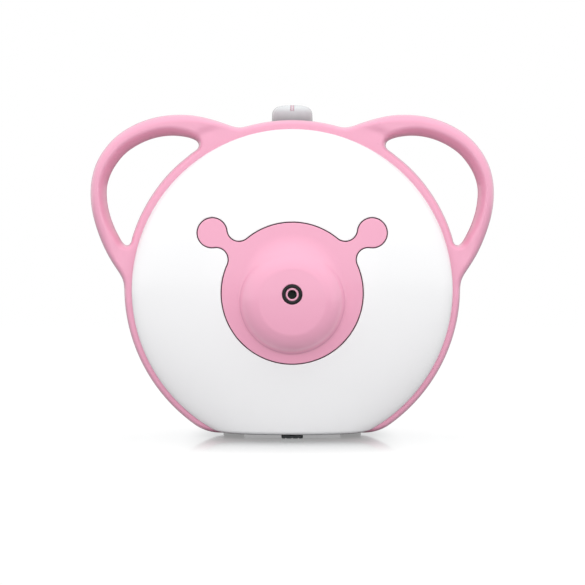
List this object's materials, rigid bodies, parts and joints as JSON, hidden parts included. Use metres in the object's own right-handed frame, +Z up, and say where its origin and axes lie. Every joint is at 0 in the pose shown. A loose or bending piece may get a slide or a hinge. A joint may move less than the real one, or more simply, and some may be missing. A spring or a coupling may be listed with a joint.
{
  "type": "tabletop nebulizer",
  "caption": "Compressor base unit of a tabletop nebulizer: round glossy casing with two ear-shaped loop handles, a snout with a hose port and a rotary power dial on top.",
  "frame": {"origin": "centre of the footprint's bounding box, on the table under the feet", "axes": "+X to the right seen from the front, through the two handles; +Y from the front to the back, so the snout faces -Y; +Z up"},
  "size_m": [0.276, 0.106, 0.2274],
  "materials": {
    "shell_white": "gloss",
    "casing_pink": "satin gloss",
    "dial_grey": "gloss",
    "rubber_black": "matt",
    "plastic_black": "moulded",
    "plastic_grey": "moulded",
    "steel": "drawn",
    "zinc": "zinc plated",
    "core_iron": "varnished laminations",
    "brass": "turned",
    "winding": "enamelled copper wire",
    "cast_alloy": "die cast",
    "silicone": "translucent, satin",
    "felt": "felt",
    "board_green": "solder mask",
    "wire_blue": "insulation",
    "wire_brown": "insulation"
  },
  "bodies": {
    "housing": {"front_shell": "shell_white", "snout_plate": "casing_pink", "plate_gasket": "rubber_black", "port_grommet": "rubber_black", "hose_port": "casing_pink", "ring_frame": "casing_pink", "rear_housing": "casing_pink", "potentiometer": "plastic_grey", "control_board": "board_green", "foot_front": "rubber_black", "foot_rear_right": "rubber_black", "foot_rear_left": "rubber_black", "housing_screw_1": "zinc", "housing_screw_2": "zinc", "housing_screw_3": "zinc", "housing_screw_4": "zinc", "mains_inlet": "plastic_black", "inlet_pin_left": "brass", "inlet_pin_right": "brass", "filter_cup": "plastic_grey", "filter_felt": "felt", "pump_base_plate": "steel", "rubber_mount_1": "rubber_black", "rubber_mount_2": "rubber_black", "rubber_mount_3": "rubber_black", "rubber_mount_4": "rubber_black", "motor_can": "steel", "motor_magnets": "core_iron", "bearing_fan_end": "brass", "bearing_drive_end": "brass", "motor_saddle": "plastic_grey", "crankcase": "cast_alloy", "diaphragm": "rubber_black", "valve_plate": "cast_alloy", "pump_head": "plastic_black", "intake_valve": "silicone", "outlet_valve": "silicone", "head_screw_1": "zinc", "head_screw_2": "zinc", "head_screw_3": "zinc", "head_screw_4": "zinc", "outlet_hose": "silicone", "intake_hose": "silicone", "mains_lead_live": "wire_brown", "mains_lead_neutral": "wire_blue", "dial_lead": "plastic_black", "motor_lead": "plastic_black", "power_board": "board_green", "transformer": "core_iron", "capacitor": "wire_blue"},
    "dial": {"power_dial": "dial_grey", "dial_pointer": "casing_pink", "dial_shaft": "steel"},
    "rotor": {"motor_shaft": "steel", "armature": "winding", "cooling_fan": "plastic_black", "crank": "steel"},
    "rod": {"connecting_rod": "plastic_black"},
    "cap": {"filter_cap": "dial_grey"}
  },
  "joints": [
    {"name": "dial_turn", "type": "hinge", "parent": "housing", "child": "dial", "pos_m": [0, 0.022, 0.2176], "axis": [0, 0, -1], "range_deg": [0, 270]},
    {"name": "motor_spin", "type": "hinge", "parent": "housing", "child": "rotor", "pos_m": [0, 0.017, 0.051], "axis": [1, 0, 0], "continuous": true},
    {"name": "rod_orbit", "type": "hinge", "parent": "rotor", "child": "rod", "pos_m": [0.0085, 0.017, 0.0535], "axis": [1, 0, 0], "continuous": true},
    {"name": "filter_cap_pull", "type": "slide", "parent": "housing", "child": "cap", "axis": [0, 1, 0], "range_m": [0, 0.03]}
  ],
  "couplings": [
    {"joint": "rod_orbit", "follows": "motor_spin", "ratio": -1}
  ]
}
